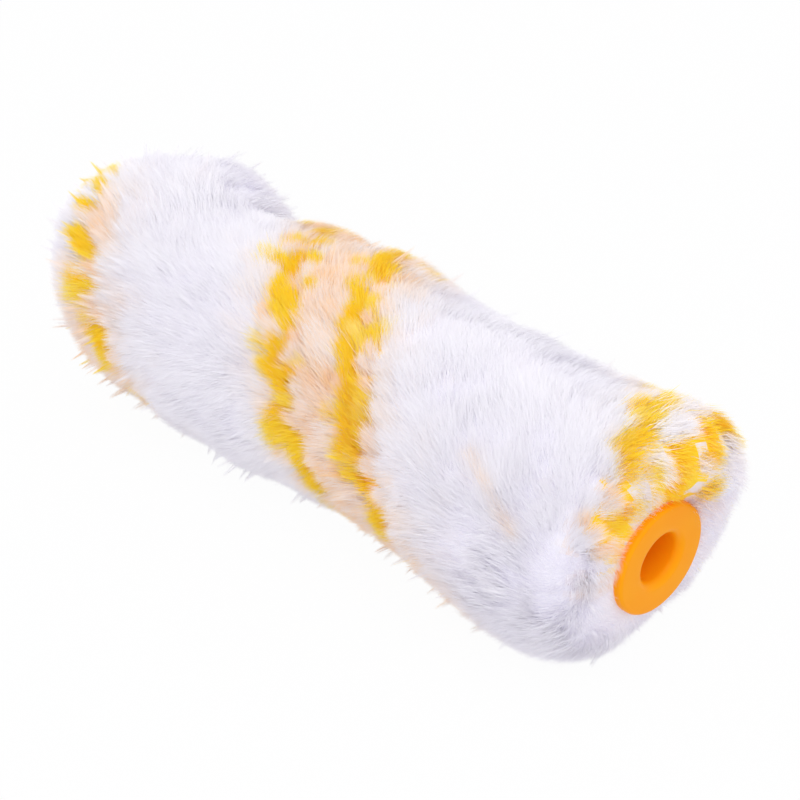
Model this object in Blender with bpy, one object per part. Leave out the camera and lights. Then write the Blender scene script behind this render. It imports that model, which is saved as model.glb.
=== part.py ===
"""Refill cover of a small paint roller: a plush sleeve on a plastic core, closed by two flanged end caps.

Metres, +Z up. The cover lies on its pile with its axis along X and the cap that faces the viewer at +X.
The origin is on the surface that it lies on, under the middle of the sleeve.
"""
import math

import bmesh
import bpy
from mathutils import Matrix, Vector

MM = 0.001

# Core tube, extruded polypropylene
CORE_LENGTH = 100.0 * MM
CORE_DIAMETER = 15.0 * MM
CORE_WALL = 1.1 * MM

# Fabric strip wound round the core: knitted backing and the pile that stands on it
BACKING_THICKNESS = 0.8 * MM
BACKING_SEAM = 0.4 * MM
PILE_HEIGHT_WAIST = 9.3 * MM
PILE_HEIGHT_ENDS = 10.4 * MM
PILE_OVERHANG = 1.2 * MM
PILE_END_LIP = 2.2 * MM
PILE_END_ROUNDING = 9.5 * MM
PRESSED_DEPTH = 0.8 * MM

# Where the brushed pile stands fuller or lies lower: place along the axis, angle round it from +Y towards +Z,
# reach along it, reach round it, and rise
WAIST_SWELL = (-3.0 * MM, math.radians(45.0), 6.0 * MM, math.radians(40.0), 1.5 * MM)
BACK_DENT = (-28.0 * MM, math.radians(45.0), 6.0 * MM, math.radians(40.0), -2.3 * MM)
FAR_BELLY = (-20.0 * MM, math.radians(225.0), 12.0 * MM, math.radians(45.0), 1.5 * MM)
NEAR_BELLY = (35.0 * MM, math.radians(225.0), 8.0 * MM, math.radians(45.0), 1.5 * MM)
NEAR_UNDERCUT = (51.0 * MM, math.radians(300.0), 8.0 * MM, math.radians(40.0), -5.5 * MM)
PILE_SWELLS = (WAIST_SWELL, BACK_DENT, FAR_BELLY, NEAR_BELLY, NEAR_UNDERCUT)

# Coloured yarn in the fabric: two stripes in each turn of the strip
WINDING_PITCH = 56.0 * MM
STRIPE_WIDTH = 6.0 * MM
STRIPE_SPACING = 13.0 * MM
STRIPE_ANGLE = math.radians(170.0)

# End caps, moulded in one mould and used at both ends
FLANGE_OVERLAP = 0.5 * MM
FLANGE_THICKNESS = 1.5 * MM
FLANGE_EDGE_ROUNDING = 0.5 * MM
BORE_DIAMETER = 7.0 * MM
BELL_MOUTH_RADIUS = 0.6 * MM
BEARING_WALL = 1.0 * MM
BEARING_LENGTH = 16.0 * MM
SPIGOT_WALL = 0.8 * MM
SPIGOT_LENGTH = 10.0 * MM
SPIGOT_LEAD_IN = 0.6 * MM
WEB_COUNT = 6
WEB_THICKNESS = 0.8 * MM
WEB_SETBACK = 1.5 * MM
CRUSH_RIB_HEIGHT = 0.2 * MM

# Clearance between pieces that touch
SEAT_GAP = 0.3 * MM

# How finely curves are drawn
ROUND_SEGMENTS = 36
BAND_STEP = math.radians(15.0)
TWIST_STEP = math.radians(20.0)
ARC_STEPS = 4

# Sizes that follow from the ones above
CORE_RADIUS = CORE_DIAMETER / 2
CORE_INNER_RADIUS = CORE_RADIUS - CORE_WALL
BACKING_INNER = CORE_RADIUS + SEAT_GAP
BACKING_OUTER = BACKING_INNER + BACKING_THICKNESS
PILE_INNER = BACKING_OUTER + SEAT_GAP
PILE_HALF_LENGTH = CORE_LENGTH / 2 + PILE_OVERHANG
PILE_CORNER_X = PILE_HALF_LENGTH - PILE_END_ROUNDING
AXIS_HEIGHT = BACKING_OUTER + max(PILE_HEIGHT_ENDS, PILE_HEIGHT_WAIST) - PRESSED_DEPTH
FLANGE_RADIUS = CORE_RADIUS + FLANGE_OVERLAP
BORE_RADIUS = BORE_DIAMETER / 2
BEARING_RADIUS = BORE_RADIUS + BEARING_WALL
RIB_RADIUS = CORE_INNER_RADIUS - SEAT_GAP
SPIGOT_RADIUS = RIB_RADIUS - CRUSH_RIB_HEIGHT
TURN = 2 * math.pi


def clear_scene():
    """Remove whatever the open file holds."""
    for old in list(bpy.data.objects):
        bpy.data.objects.remove(old, do_unlink=True)


def make_material(name, color, roughness):
    """Return a Principled material with one colour."""
    material = bpy.data.materials.new(name)
    material.use_nodes = True
    shader = material.node_tree.nodes["Principled BSDF"]
    shader.inputs["Base Color"].default_value = (*color, 1.0)
    shader.inputs["Roughness"].default_value = roughness
    shader.inputs["Metallic"].default_value = 0.0
    material.diffuse_color = (*color, 1.0)
    return material


def mesh_from(bm, name):
    """Turn a bmesh into a mesh whose faces point out, shaded smooth with crisp corners."""
    bmesh.ops.recalc_face_normals(bm, faces=bm.faces)
    mesh = bpy.data.meshes.new(name)
    bm.to_mesh(mesh)
    bm.free()
    mesh.shade_smooth()
    mesh.set_sharp_from_angle(angle=math.radians(35))
    return mesh


def add_piece(name, mesh, material, parent):
    """Put a mesh into the scene as a named piece of the roller."""
    mesh.materials.append(material)
    piece = bpy.data.objects.new(name, mesh)
    piece.parent = parent
    bpy.context.scene.collection.objects.link(piece)
    return piece


def turned_mesh(name, outline, start=0.0):
    """Spin a closed outline of (x, radius) points about the X axis, with its first corners at a start angle."""
    bm = bmesh.new()
    across, up = math.sin(start), math.cos(start)
    corners = [bm.verts.new((x, radius * across, radius * up)) for x, radius in outline]
    edges = [bm.edges.new((corners[i - 1], corners[i])) for i in range(len(corners))]
    bmesh.ops.spin(
        bm,
        geom=corners + edges,
        axis=(1, 0, 0),
        cent=(0, 0, 0),
        steps=ROUND_SEGMENTS,
        angle=TURN,
        use_merge=True,
    )
    return mesh_from(bm, name)


def quarter_arc(centre_x, centre_r, radius, start):
    """Return (x, radius) points of a quarter circle that starts at the angle given and turns left."""
    angles = [start + math.pi / 2 * i / ARC_STEPS for i in range(ARC_STEPS + 1)]
    return [(centre_x + radius * math.cos(a), centre_r + radius * math.sin(a)) for a in angles]


def swell_rise(x, angle):
    """How far the swells and dents of the brushed pile lift it at a place along the axis and an angle round it."""
    total = 0.0
    for swell_x, swell_angle, reach_along, reach_round, rise in PILE_SWELLS:
        along = (x - swell_x) / reach_along
        around = math.remainder(angle - swell_angle, TURN) / reach_round
        total += rise * math.exp(-(along**2 + around**2) / 2)
    return total


def pile_height(x, angle):
    """Height of the pile above its backing, before its ends are rounded."""
    share = math.sin(math.pi / 2 * abs(x) / PILE_HALF_LENGTH) ** 2
    even_height = PILE_HEIGHT_WAIST + (PILE_HEIGHT_ENDS - PILE_HEIGHT_WAIST) * share
    return even_height + swell_rise(x, angle)


def pile_radius(x, angle):
    """Outer radius of the pile: drawn in at the waist, fuller at the ends and rounded off there."""
    into_rounding = max(0.0, abs(x) - PILE_CORNER_X) / PILE_END_ROUNDING
    rounding = math.sqrt(max(0.0, 1.0 - into_rounding**2))
    return BACKING_OUTER + PILE_END_LIP + (pile_height(x, angle) - PILE_END_LIP) * rounding


def band_stations(half_length, corner_x):
    """Places along the axis where a wound band has a ring of points, closest where its end is rounded."""
    spacing = WINDING_PITCH * TWIST_STEP / TURN
    middle_steps = max(2, math.ceil(2 * corner_x / spacing))
    middle = [-corner_x + 2 * corner_x * i / middle_steps for i in range(middle_steps + 1)]
    rounding = half_length - corner_x
    end_steps = math.ceil(math.pi / 2 * rounding / spacing)
    end = [corner_x + rounding * math.sin(math.pi / 2 * i / end_steps) for i in range(1, end_steps + 1)]
    return [-x for x in reversed(end)] + middle + end


def wound_band(name, middle_angle, width_angle, inner, outer_at, stations):
    """Make a band that winds round the X axis, a right-handed helix, as one closed body.

    middle_angle is the band's middle at x = 0, from +Y towards +Z, and width_angle its share of a turn.
    Points that would reach below the surface that the roller lies on are pressed flat against it.
    """
    bm = bmesh.new()
    steps = max(2, math.ceil(width_angle / BAND_STEP))
    offsets = [width_angle * (i / steps - 0.5) for i in range(steps + 1)]
    section = [(offset, True) for offset in offsets] + [(offset, False) for offset in reversed(offsets)]
    rings = []
    for x in stations:
        turn = middle_angle + TURN * x / WINDING_PITCH
        ring = []
        for offset, is_outer in section:
            angle = turn + offset
            radius = outer_at(x, angle) if is_outer else inner
            y = radius * math.cos(angle)
            z = max(radius * math.sin(angle), -AXIS_HEIGHT)
            ring.append(bm.verts.new((x, y, z)))
        rings.append(ring)
    count = len(section)
    for first, second in zip(rings, rings[1:]):
        for i in range(count):
            j = (i + 1) % count
            if section[j][0] > section[i][0]:
                bm.faces.new((first[i], first[j], second[i]))
                bm.faces.new((first[j], second[j], second[i]))
            else:
                bm.faces.new((first[i], first[j], second[j]))
                bm.faces.new((first[i], second[j], second[i]))
    for ring in (rings[0], rings[-1]):
        for i in range(steps):
            bm.faces.new((ring[i], ring[i + 1], ring[count - 2 - i], ring[count - 1 - i]))
    return mesh_from(bm, name)


def core_outline():
    """Wall of the core tube."""
    half = CORE_LENGTH / 2
    return [
        (-half, CORE_RADIUS),
        (half, CORE_RADIUS),
        (half, CORE_INNER_RADIUS),
        (-half, CORE_INNER_RADIUS),
    ]


def cap_outline():
    """Flange and bearing tube of an end cap, with x = 0 on the flange's inner face and +X outward."""
    face = FLANGE_THICKNESS
    edge = FLANGE_EDGE_ROUNDING
    bell = BELL_MOUTH_RADIUS
    rim = quarter_arc(face - edge, FLANGE_RADIUS - edge, edge, 0.0)
    mouth = quarter_arc(face - bell, BORE_RADIUS + bell, bell, -math.pi / 2)
    bearing = [
        (0.0, FLANGE_RADIUS),
        (0.0, BEARING_RADIUS),
        (-BEARING_LENGTH, BEARING_RADIUS),
        (-BEARING_LENGTH, BORE_RADIUS),
    ]
    return mouth + rim + bearing


def spigot_outline():
    """Wall that locates a cap in the core. It starts inside the flange, which it grows out of."""
    return [
        (FLANGE_THICKNESS / 2, SPIGOT_RADIUS),
        (SPIGOT_LEAD_IN - SPIGOT_LENGTH, SPIGOT_RADIUS),
        (-SPIGOT_LENGTH, SPIGOT_RADIUS - SPIGOT_LEAD_IN / 2),
        (-SPIGOT_LENGTH, SPIGOT_RADIUS - SPIGOT_WALL),
        (FLANGE_THICKNESS / 2, SPIGOT_RADIUS - SPIGOT_WALL),
    ]


def web_mesh(name, angle):
    """Make a stiffening web of a cap. It runs from the bearing tube out to a crush rib on the spigot."""
    inner = BEARING_RADIUS - BEARING_WALL / 2
    low = Vector((WEB_SETBACK - SPIGOT_LENGTH, -WEB_THICKNESS / 2, inner))
    high = Vector((FLANGE_THICKNESS / 2, WEB_THICKNESS / 2, RIB_RADIUS))
    bm = bmesh.new()
    bmesh.ops.create_cube(bm, size=1.0)
    bmesh.ops.scale(bm, vec=high - low, verts=bm.verts)
    bmesh.ops.translate(bm, vec=(high + low) / 2, verts=bm.verts)
    bmesh.ops.rotate(bm, matrix=Matrix.Rotation(angle, 3, "X"), verts=bm.verts)
    return mesh_from(bm, name)


def join_to_cap(mesh, cap, parent):
    """Join a hidden body to a cap, so that the two are moulded in one."""
    body = bpy.data.objects.new(mesh.name, mesh)
    body.parent = parent
    body.matrix_basis = cap.matrix_basis
    body.hide_render = True
    body.display_type = "WIRE"
    bpy.context.scene.collection.objects.link(body)
    union = cap.modifiers.new(mesh.name, "BOOLEAN")
    union.operation = "UNION"
    union.solver = "EXACT"
    union.object = body


def add_cap(name, material, parent, outward):
    """Put an end cap on one end of the core: outward is 1 for the +X end and -1 for the -X end."""
    cap = add_piece(name, turned_mesh(name, cap_outline()), material, parent)
    place = Matrix.Translation((outward * (CORE_LENGTH / 2 + SEAT_GAP), 0, 0))
    facing = Matrix.Rotation(0.0 if outward > 0 else math.pi, 4, "Z")
    cap.matrix_basis = place @ facing
    half_facet = TURN / ROUND_SEGMENTS / 2
    join_to_cap(turned_mesh(f"{name}_spigot", spigot_outline(), half_facet), cap, parent)
    for i in range(WEB_COUNT):
        join_to_cap(web_mesh(f"{name}_web_{i + 1}", TURN * i / WEB_COUNT), cap, parent)


def add_pile(parent, white, yellow):
    """Stand the pile on its backing as four wound bands: two yellow stripes and the white beside them."""
    spacing_angle = TURN * STRIPE_SPACING / WINDING_PITCH
    stripe_angle = TURN * STRIPE_WIDTH / WINDING_PITCH
    middle_angle = STRIPE_ANGLE - spacing_angle / 2
    gap_angle = SEAT_GAP / PILE_INNER
    bands = (
        ("yellow_pile_trailing", STRIPE_ANGLE, stripe_angle, yellow),
        ("white_pile_narrow", middle_angle, spacing_angle - stripe_angle, white),
        ("yellow_pile_leading", STRIPE_ANGLE - spacing_angle, stripe_angle, yellow),
        ("white_pile_wide", middle_angle + math.pi, TURN - spacing_angle - stripe_angle, white),
    )
    stations = band_stations(PILE_HALF_LENGTH, PILE_CORNER_X)
    for name, angle, width, material in bands:
        mesh = wound_band(name, angle, width - gap_angle, PILE_INNER, pile_radius, stations)
        add_piece(name, mesh, material, parent)


def add_backing(parent, material):
    """Wind the backing strip round the core, edge to edge with a fine seam."""
    stations = band_stations(CORE_LENGTH / 2, CORE_LENGTH / 2)
    seam_angle = BACKING_SEAM / BACKING_INNER
    seam_middle = STRIPE_ANGLE - TURN * STRIPE_SPACING / WINDING_PITCH / 2 + math.pi
    mesh = wound_band(
        "backing_strip",
        seam_middle + math.pi,
        TURN - seam_angle,
        BACKING_INNER,
        lambda x, angle: BACKING_OUTER,
        stations,
    )
    add_piece("backing_strip", mesh, material, parent)


def main():
    """Build the roller cover from the inside out."""
    clear_scene()
    orange = make_material("orange_moulded_cap", (0.93, 0.33, 0.02), 0.32)
    natural = make_material("natural_extruded_core", (0.80, 0.80, 0.78), 0.45)
    cloth = make_material("knitted_backing", (0.78, 0.76, 0.74), 0.9)
    white = make_material("white_pile", (0.86, 0.85, 0.91), 0.95)
    yellow = make_material("yellow_pile", (0.98, 0.56, 0.03), 0.95)

    axis = bpy.data.objects.new("roller_axis", None)
    axis.location = (0.0, 0.0, AXIS_HEIGHT)
    bpy.context.scene.collection.objects.link(axis)

    add_piece("core_tube", turned_mesh("core_tube", core_outline()), natural, axis)
    add_cap("near_end_cap", orange, axis, 1)
    add_cap("far_end_cap", orange, axis, -1)
    add_backing(axis, cloth)
    add_pile(axis, white, yellow)


main()
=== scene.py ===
"""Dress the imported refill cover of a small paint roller.

This script stands plush pile on the backing, turns the moulded caps anew as fine meshes, finishes the core
and the backing, and sets up the floor, the light and the camera. Lengths are in millimetres, in a frame whose
X axis is the roller's own axis, unless a name says metres. They turn to metres where a mesh is made.
"""
from __future__ import annotations

import logging
import math
from collections.abc import Mapping, Sequence
from dataclasses import dataclass, field
from enum import Enum
from typing import ClassVar

import bpy
import numpy as np
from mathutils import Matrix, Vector


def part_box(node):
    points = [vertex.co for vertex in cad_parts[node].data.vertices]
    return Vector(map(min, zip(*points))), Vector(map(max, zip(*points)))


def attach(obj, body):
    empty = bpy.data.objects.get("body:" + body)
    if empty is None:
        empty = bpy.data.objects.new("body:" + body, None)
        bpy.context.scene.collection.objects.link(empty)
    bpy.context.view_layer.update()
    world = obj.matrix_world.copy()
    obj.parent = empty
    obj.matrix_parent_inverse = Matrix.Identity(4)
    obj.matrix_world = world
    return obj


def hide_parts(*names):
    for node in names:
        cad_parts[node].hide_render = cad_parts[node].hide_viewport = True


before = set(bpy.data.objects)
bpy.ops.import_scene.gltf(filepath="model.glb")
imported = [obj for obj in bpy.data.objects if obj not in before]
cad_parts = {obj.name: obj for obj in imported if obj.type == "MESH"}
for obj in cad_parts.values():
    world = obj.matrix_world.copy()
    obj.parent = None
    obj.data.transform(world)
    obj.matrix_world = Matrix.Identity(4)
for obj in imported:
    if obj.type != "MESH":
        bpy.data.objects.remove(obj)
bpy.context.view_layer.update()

Array = np.ndarray
Tree = bpy.types.NodeTree
Socket = bpy.types.NodeSocket

MM = 0.001
TURN = 2.0 * math.pi
SEED = 17
PALETTE_MAP = "OFBake"
PALETTE_COLUMNS = 64

log = logging.getLogger("roller_refill")


def linear_colour(code: str) -> tuple[float, float, float, float]:
    """Turn an sRGB hex colour into linear light.

    Args:
        code: Colour such as "#F6C12B".

    Returns:
        Linear red, green and blue with an alpha of 1.
    """
    channels = [int(code[i : i + 2], 16) / 255.0 for i in (1, 3, 5)]
    linear = [c / 12.92 if c <= 0.04045 else ((c + 0.055) / 1.055) ** 2.4 for c in channels]
    return (*linear, 1.0)


def add_node(
    tree: Tree,
    kind: str,
    inputs: Mapping[str | int, object] | None = None,
    stops: Sequence[tuple[float, str]] = (),
    **settings: object,
) -> bpy.types.Node:
    """Add one node with its settings and links.

    Args:
        tree: Tree that gets the node.
        kind: Blender's type name for the node.
        inputs: Input sockets by name or number, each with a value or with an output socket to link to it.
        stops: Places and sRGB hex colours along a colour ramp, lowest first.
        **settings: Attributes of the node itself.

    Returns:
        The new node.
    """
    node = tree.nodes.new(kind)
    for name, value in settings.items():
        setattr(node, name, value)
    for socket, value in (inputs or {}).items():
        if isinstance(value, Socket):
            tree.links.new(value, node.inputs[socket])
        else:
            node.inputs[socket].default_value = value
    for i, (place, colour) in enumerate(stops):
        elements = node.color_ramp.elements
        element = elements[i] if i < len(elements) else elements.new(place)
        element.position = place
        element.color = linear_colour(colour)
    return node


def smooth_step(low: float, high: float, value: Array) -> Array:
    """Rise smoothly from 0 at low to 1 at high."""
    share = np.clip((value - low) / (high - low), 0.0, 1.0)
    return share * share * (3.0 - 2.0 * share)


def ramp_colour(tree: Tree, factor: Socket, stops: Sequence[tuple[float, str]]) -> Socket:
    """Return the colour that a ramp of sRGB hex colours gives for a factor."""
    return add_node(tree, "ShaderNodeValToRGB", {"Fac": factor}, stops).outputs["Color"]


def noise_texture(tree: Tree, place: Socket, size: float, detail: float) -> Socket:
    """Return a noise with lumps of a size in millimetres."""
    inputs = {"Vector": place, "Scale": 1.0 / (size * MM), "Detail": detail}
    return add_node(tree, "ShaderNodeTexNoise", inputs).outputs["Fac"]


def bumped_normal(tree: Tree, height: Socket, strength: float, depth: float, invert: bool = False) -> Socket:
    """Return the normals of a surface that a pattern raises by a depth in millimetres."""
    inputs = {"Height": height, "Strength": strength, "Distance": depth * MM}
    return add_node(tree, "ShaderNodeBump", inputs, invert=invert).outputs["Normal"]


def end_with_principled(tree: Tree, inputs: Mapping[str | int, object]) -> None:
    """End a material with a principled shader that has these inputs."""
    shader = add_node(tree, "ShaderNodeBsdfPrincipled", inputs)
    add_node(tree, "ShaderNodeOutputMaterial", {"Surface": shader.outputs["BSDF"]})


@dataclass(frozen=True)
class Finish:
    """A finish that a surface can take. Each kind lays out its own nodes."""

    name: str

    def material(self) -> bpy.types.Material:
        """Find the finish's material, or make it the first time that it is asked for.

        Returns:
            The material.
        """
        made = bpy.data.materials.get(self.name)
        if made is None:
            made = bpy.data.materials.new(self.name)
            made.use_nodes = True
            made.node_tree.nodes.clear()
            self.lay_nodes(made.node_tree)
        return made

    def lay_nodes(self, tree: Tree) -> None:
        """Lay out the finish's nodes in an empty tree."""
        raise NotImplementedError


@dataclass(frozen=True)
class PlushYarn(Finish):
    """Brushed polyester pile yarn: fine soft fibres that scatter light, so no gloss and a pale sheen.

    Each fibre lies on a palette map: across the map its own shade, and up the map from its root to its tip.
    """

    shades: tuple[tuple[float, str], ...]
    # Painted shade: the colour that darkens a fibre at its root, and how far up the fibre it fades to none.
    painted_root_shade: str
    painted_shade_end: float = 0.75

    def lay_nodes(self, tree: Tree) -> None:
        """Read a fibre's colour from the palette map, and darken it towards its root with painted shade.

        Args:
            tree: Empty tree of the material.
        """
        palette = add_node(tree, "ShaderNodeUVMap", uv_map=PALETTE_MAP)
        place = add_node(tree, "ShaderNodeSeparateXYZ", {"Vector": palette.outputs["UV"]})
        shade = ramp_colour(tree, place.outputs["X"], self.shades)
        # Painted shade: the root colour multiplies the fibre's colour, most at its root and fading out
        # further up.
        root_shade_ramp = ramp_colour(tree, place.outputs["Y"], ((0.0, self.painted_root_shade), (self.painted_shade_end, "#FFFFFF")))
        layers = {"Fac": 1.0, "Color1": shade, "Color2": root_shade_ramp}
        colour = add_node(tree, "ShaderNodeMixRGB", layers, blend_type="MULTIPLY")
        inputs = {
            "Base Color": colour.outputs["Color"],
            "Roughness": 0.85,
            "IOR": 1.45,
            "Specular IOR Level": 0.2,
            "Sheen Weight": 0.25,
            "Sheen Roughness": 0.5,
        }
        end_with_principled(tree, inputs)


@dataclass(frozen=True)
class MouldedPolyethylene(Finish):
    """Injection-moulded polyethylene: even colour, waxy satin gloss and faint flow marks from the mould."""

    colour: str
    flow_colour: str
    flow_size: float = 6.0
    grain_size: float = 0.35
    grain_depth: float = 0.02

    def lay_nodes(self, tree: Tree) -> None:
        """Cloud the colour along the melt's flow and break the gloss with a fine mould grain.

        Args:
            tree: Empty tree of the material.
        """
        place = add_node(tree, "ShaderNodeTexCoord").outputs["Object"]
        flow = noise_texture(tree, place, self.flow_size, detail=2.0)
        grain = noise_texture(tree, place, self.grain_size, detail=3.0)
        roughness = add_node(tree, "ShaderNodeMapRange", {"Value": grain, "To Min": 0.28, "To Max": 0.42})
        inputs = {
            "Base Color": ramp_colour(tree, flow, ((0.35, self.colour), (0.75, self.flow_colour))),
            "Roughness": roughness.outputs["Result"],
            "Normal": bumped_normal(tree, grain, 0.12, self.grain_depth),
            "IOR": 1.51,
            "Specular IOR Level": 0.07,
        }
        end_with_principled(tree, inputs)


@dataclass(frozen=True)
class ExtrudedPolypropylene(Finish):
    """Extruded natural polypropylene: milky, with fine draw lines along the tube."""

    colour: str
    line_colour: str
    line_spacing: float = 0.8
    line_stretch: float = 60.0
    line_depth: float = 0.05

    def lay_nodes(self, tree: Tree) -> None:
        """Stretch a noise along the tube to draw the die's lines.

        Args:
            tree: Empty tree of the material.
        """
        place = add_node(tree, "ShaderNodeTexCoord").outputs["Object"]
        across = 1.0 / (self.line_spacing * MM)
        scale = (across / self.line_stretch, across, across)
        drawn = add_node(tree, "ShaderNodeMapping", {"Vector": place, "Scale": scale}).outputs["Vector"]
        noise = add_node(tree, "ShaderNodeTexNoise", {"Vector": drawn, "Scale": 1.0, "Detail": 2.0})
        lines = noise.outputs["Fac"]
        inputs = {
            "Base Color": ramp_colour(tree, lines, ((0.3, self.line_colour), (0.7, self.colour))),
            "Roughness": 0.45,
            "IOR": 1.49,
            "Normal": bumped_normal(tree, lines, 0.3, self.line_depth),
        }
        end_with_principled(tree, inputs)


@dataclass(frozen=True)
class KnittedPolyester(Finish):
    """Knitted polyester ground: rows of small stitches with painted shade in the gaps between them, and no
    gloss.
    """

    colour: str
    # Painted shade in the gaps between the stitches.
    painted_gap_shade: str
    stitch_size: float = 0.9
    stitch_depth: float = 0.2

    def lay_nodes(self, tree: Tree) -> None:
        """Draw the stitches as close cells, raise them, and paint shade into the gaps between them.

        Args:
            tree: Empty tree of the material.
        """
        place = add_node(tree, "ShaderNodeTexCoord").outputs["Object"]
        cells = {"Vector": place, "Scale": 1.0 / (self.stitch_size * MM), "Randomness": 0.35}
        stitches = add_node(tree, "ShaderNodeTexVoronoi", cells).outputs["Distance"]
        inputs = {
            # Painted shade: the colour darkens towards the gaps between the stitches.
            "Base Color": ramp_colour(tree, stitches, ((0.25, self.colour), (0.8, self.painted_gap_shade))),
            "Roughness": 0.9,
            "Sheen Weight": 0.2,
            "Normal": bumped_normal(tree, stitches, 0.6, self.stitch_depth, invert=True),
        }
        end_with_principled(tree, inputs)


@dataclass(frozen=True)
class StudioPaper(Finish):
    """Matt white backdrop paper. The camera sees it close to white, with the roller's shadow left on it."""

    colour: str
    seen_white: float = 0.97

    def lay_nodes(self, tree: Tree) -> None:
        """Scatter light as paper does, and lift what the camera and reflections see towards white.

        Args:
            tree: Empty tree of the material.
        """
        paper = add_node(tree, "ShaderNodeBsdfDiffuse", {"Color": linear_colour(self.colour)})
        white = add_node(tree, "ShaderNodeEmission", {"Color": (1.0, 1.0, 1.0, 1.0), "Strength": 1.0})
        seen = backdrop_seen(tree)
        lift = add_node(tree, "ShaderNodeMath", {0: seen, 1: self.seen_white}, operation="MULTIPLY")
        mix = add_node(
            tree,
            "ShaderNodeMixShader",
            {0: lift.outputs["Value"], 1: paper.outputs["BSDF"], 2: white.outputs["Emission"]},
        )
        add_node(tree, "ShaderNodeOutputMaterial", {"Surface": mix.outputs["Shader"]})


def backdrop_seen(tree: Tree) -> Socket:
    """Return a socket that is 1 for the rays that show the backdrop and 0 for those that carry light.

    Args:
        tree: Tree that gets the nodes.

    Returns:
        Output socket of the last node.
    """
    path = add_node(tree, "ShaderNodeLightPath")
    seen = path.outputs["Is Camera Ray"]
    for name in ("Is Glossy Ray", "Is Transmission Ray"):
        either = add_node(tree, "ShaderNodeMath", {0: seen, 1: path.outputs[name]}, operation="MAXIMUM")
        seen = either.outputs["Value"]
    return seen


WHITE_PLUSH = PlushYarn(
    "white_brushed_polyester_pile",
    shades=(
        (0.0, "#FBFAFD"),
        (0.25, "#FCFBFE"),
        (0.5, "#FEF6F0"),
        (0.8, "#FFECD6"),
        (1.0, "#FFDEAA"),
    ),
    # Painted shade at the fibres' roots.
    painted_root_shade="#EFEEF4",
)
YELLOW_PLUSH = PlushYarn(
    "golden_brushed_polyester_pile",
    shades=((0.0, "#FFDA20"), (0.5, "#FFE73C"), (1.0, "#FFF098")),
    # Painted shade at the fibres' roots.
    painted_root_shade="#FFF2DC",
)
ORANGE_CAP = MouldedPolyethylene("orange_moulded_polyethylene", colour="#FFA60C", flow_colour="#FFA008")
NATURAL_CORE = ExtrudedPolypropylene(
    "natural_extruded_polypropylene", colour="#E9E8E4", line_colour="#D2D0CA"
)
KNIT_BACKING = KnittedPolyester("white_knitted_polyester", colour="#E6E3E2", painted_gap_shade="#C4C0BE")
WHITE_PAPER = StudioPaper("matt_white_paper", colour="#E8E8EC")


def add_object(name: str, data: bpy.types.ID) -> bpy.types.Object:
    """Put an object into the scene.

    Args:
        name: Its name.
        data: Its mesh, lamp or camera.

    Returns:
        The new object.
    """
    made = bpy.data.objects.new(name, data)
    bpy.context.scene.collection.objects.link(made)
    return made


def add_piece(
    name: str, mesh: bpy.types.Mesh, finish: Finish, nodes: Sequence[str]
) -> bpy.types.Object:
    """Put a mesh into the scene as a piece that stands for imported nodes.

    Args:
        name: Name of the piece.
        mesh: Its mesh, in metres in the part's frame.
        finish: Its finish.
        nodes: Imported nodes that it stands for.

    Returns:
        The new object.
    """
    mesh.materials.append(finish.material())
    piece = add_object(name, mesh)
    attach(piece, "root")
    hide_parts(*nodes)
    log.info("%s: %d faces, stands for %s", name, len(mesh.polygons), ", ".join(nodes))
    return piece


class SoftNoise:
    """Smooth seeded noise over the sleeve that closes on itself round the axis: a sum of random waves."""

    RATE_SPREAD: ClassVar[tuple[float, float]] = (0.6, 1.4)

    def __init__(
        self, rng: np.random.Generator, wavelength: float, radius: float, waves: int = 24
    ) -> None:
        """Draw the waves.

        Args:
            rng: Source of random numbers.
            wavelength: Typical distance between crests on the surface.
            radius: Radius of the surface.
            waves: Number of waves.
        """
        rate = TURN / wavelength * rng.uniform(*self.RATE_SPREAD, waves)
        heading = rng.uniform(0.0, TURN, waves)
        self.along = rate * np.cos(heading)
        self.around = np.round(rate * np.sin(heading) * radius)
        self.phase = rng.uniform(0.0, TURN, waves)
        self.scale = math.sqrt(2.0 / waves)

    def at(self, x: Array, angle: Array) -> Array:
        """Add the waves up at places on the sleeve.

        Args:
            x: Places along the axis.
            angle: Angles round it.

        Returns:
            The noise, with a spread of about 1.
        """
        total = np.zeros(np.broadcast(x, angle).shape)
        for along, around, phase in zip(self.along, self.around, self.phase):
            total += np.cos(along * x + around * angle + phase)
        return total * self.scale


@dataclass(frozen=True)
class Rise:
    """A value that goes smoothly from 0 at one place to an amount at another, and keeps it from there on."""

    start: float
    end: float
    amount: float = 1.0

    def at(self, place: Array) -> Array:
        """Return the value at places."""
        return self.amount * smooth_step(self.start, self.end, place)


@dataclass(frozen=True)
class SoftPatch:
    """A soft-edged place on the sleeve, with what it adds at its middle."""

    x: float
    angle: float
    reach_along: float
    reach_around: float
    amount: float

    def at(self, x: Array, angle: Array) -> Array:
        """Work out what the patch adds at places on the sleeve.

        Args:
            x: Places along the axis.
            angle: Angles round it.

        Returns:
            What comes on top there.
        """
        off_around = np.degrees(np.angle(np.exp(1j * (angle - math.radians(self.angle)))))
        along = (x - self.x) / self.reach_along
        around = off_around / self.reach_around
        return self.amount * np.exp(-0.5 * (along**2 + around**2))


@dataclass(frozen=True)
class StrayStreak:
    """Yellow fibres that strayed into the white along a line, with the share of yellow in its middle."""

    start_x: float
    start_angle: float
    end_x: float
    end_angle: float
    half_width: float
    amount: float
    radius: float = 18.0

    def at(self, x: Array, angle: Array) -> Array:
        """Work out how yellow the streak makes places on the sleeve.

        Args:
            x: Places along the axis.
            angle: Angles round it.

        Returns:
            Share of yellow, from 0 to the streak's own amount.
        """
        start, end = math.radians(self.start_angle), math.radians(self.end_angle)
        line = np.array((self.end_x - self.start_x, (end - start) * self.radius))
        off = np.stack([x - self.start_x, (angle % TURN - start) * self.radius])
        share = np.clip(line @ off / (line @ line), 0.0, 1.0)
        gap = np.hypot(*(off - line[:, None] * share))
        return self.amount * np.exp(-0.5 * (gap / self.half_width) ** 2)


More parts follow.
